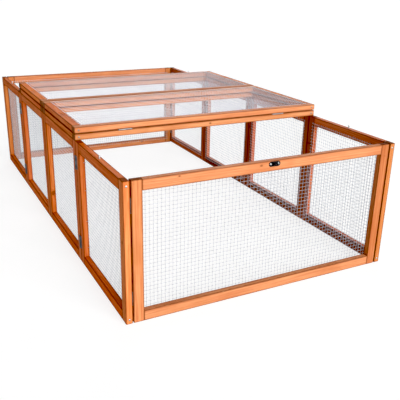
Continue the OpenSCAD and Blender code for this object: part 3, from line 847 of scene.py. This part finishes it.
for end, sy in (("front", 1), ("rear", -1)):
    for name, body, node, shapes in (
        (f"{end}_latch_plate_pressing", f"{end}_panel", f"{end}_latch_plate", [pressed(21 - 8.5, 8.5, 0.0, 1.5, 0.5)]),
        (f"{end}_turn_button", f"{end}_knob", f"{end}_turn_knob", [pressed(0.001, 2.2, 0.0, 3.9, 0.1), pressed(3.6, 2.4, 3.8, 6.6, 0.7)]),
    ):
        m = Matrix.Translation((0, Y0 * sy, PLATE_Z)) @ Vector((0, -sy, 0)).to_track_quat("Z", "Y").to_matrix().to_4x4()
        if abs((m.to_3x3() @ Vector((1, 0, 0))).x) < 0.5:
            m = m @ Matrix.Rotation(math.pi / 2, 4, "Z")
        pts, faces = merge([(s[0], s[1]) for s in shapes])
        ob = piece(name, ([tuple(m @ Vector(p)) for p in pts], faces), body, M_BLACK, node=node, sharp=50)
        wear = ob.data.attributes.new("edge_wear", "FLOAT", "POINT")
        wear.data.foreach_set("value", [v for s in shapes for v in s[2]])

# ---------------------------------------------------------------- carried-over nodes


def dress(node, mat):
    me = frame["nodes"][node].data
    if not me.materials:
        me.materials.append(mat)
    for s in frame["nodes"][node].material_slots:
        s.material = mat


for node in frame["nodes"]:
    if node.endswith("_mesh"):
        # the roof and lid wire gets the copy with painted reflection, the end panel wire the copy with painted shade
        dress(node, M_MESH_TOP_SHEEN if "roof" in node or "lid" in node else M_MESH_END_SHADED if "panel" in node else M_MESH)
    elif "hasp" in node:
        dress(node, M_BLACK)
    elif "hinge" in node:
        dress(node, M_HINGE)

# ---------------------------------------------------------------- stage

floor_mat = Tree("studio_floor")
tex = floor_mat.nt.nodes.new("ShaderNodeTexCoord")
floor_mat.put(floor_mat.bsdf.inputs["Base Color"], floor_mat.mix(floor_mat.noise(tex.outputs["Object"], 1.5, 2.0), (0.27, 0.27, 0.27), (0.29, 0.29, 0.29)))
floor_mat.bsdf.inputs["Roughness"].default_value = 0.9
floor_mat.bsdf.inputs["Specular IOR Level"].default_value = 0.0
floor_mat.bsdf.inputs["Emission Color"].default_value = (1, 1, 1, 1)
floor_mat.bsdf.inputs["Emission Strength"].default_value = 0.78
bm = bmesh.new()
bmesh.ops.create_circle(bm, cap_ends=True, segments=96, radius=60.0)
me = bpy.data.meshes.new("studio_floor")
bm.to_mesh(me)
bm.free()
floor = bpy.data.objects.new("studio_floor", me)
scene.collection.objects.link(floor)
floor.location.z = -0.0005
me.materials.append(floor_mat.mat)
floor.visible_glossy = False

world = bpy.data.worlds.new("studio")
scene.world = world
world.use_nodes = True
wn = world.node_tree
wn.nodes.clear()
w_out = wn.nodes.new("ShaderNodeOutputWorld")
w_mix = wn.nodes.new("ShaderNodeMixShader")
w_path = wn.nodes.new("ShaderNodeLightPath")
w_light, w_seen = wn.nodes.new("ShaderNodeBackground"), wn.nodes.new("ShaderNodeBackground")
w_light.inputs["Color"].default_value = (0.86, 0.95, 1.0, 1)
w_light.inputs["Strength"].default_value = 0.17
w_seen.inputs["Color"].default_value = (1, 1, 1, 1)
w_seen.inputs["Strength"].default_value = 1.0
wn.links.new(w_path.outputs["Is Camera Ray"], w_mix.inputs[0])
wn.links.new(w_light.outputs[0], w_mix.inputs[1])
wn.links.new(w_seen.outputs[0], w_mix.inputs[2])
wn.links.new(w_mix.outputs[0], w_out.inputs[0])


def sun(name, towards, strength, angle, colour=(1, 1, 1)):
    """towards is the direction from the object to the lamp."""
    data = bpy.data.lights.new(name, "SUN")
    data.energy, data.angle, data.color = strength, math.radians(angle), colour
    ob = bpy.data.objects.new(name, data)
    scene.collection.objects.link(ob)
    ob.rotation_mode = "QUATERNION"
    ob.rotation_quaternion = Vector(towards).to_track_quat("Z", "Y")


sun("key", (0.15, -0.93, 0.37), 4.15, 46, (1.0, 0.99, 0.98))
sun("back", (0.50, 0.83, 0.28), 1.3, 35, (0.93, 0.96, 1.0))
sun("top", (-0.10, -0.15, 1.0), 0.38, 60)

# ---------------------------------------------------------------- camera
F, AZ, EL, ROLL = 589.067, 0.48232772, 0.368984743, 0.0219854297
cam_data = bpy.data.cameras.new("camera")
cam_data.sensor_width = 36
cam_data.lens = 36 * F / 400
cam_data.clip_start, cam_data.clip_end = 0.05, 200
cam = bpy.data.objects.new("camera", cam_data)
scene.collection.objects.link(cam)
fw = Vector((math.sin(AZ) * math.cos(EL), math.cos(AZ) * math.cos(EL), -math.sin(EL)))
right = fw.cross(Vector((0, 0, 1))).normalized()
up = right.cross(fw)
r2 = math.cos(ROLL) * right + math.sin(ROLL) * up
u2 = -math.sin(ROLL) * right + math.cos(ROLL) * up
m = Matrix((r2, u2, -fw)).transposed().to_4x4()
m.translation = Vector((-1.01533687, -1.44451866 - 0.92, 0.996653158))
cam.matrix_world = m
scene.camera = cam

scene.view_settings.view_transform = "Standard"
scene.view_settings.look = "None"
scene.view_settings.exposure = 0.0
scene.view_settings.use_curve_mapping = True
scene.view_settings.curve_mapping.black_level = (0.035, 0.035, 0.035)
scene.view_settings.curve_mapping.update()
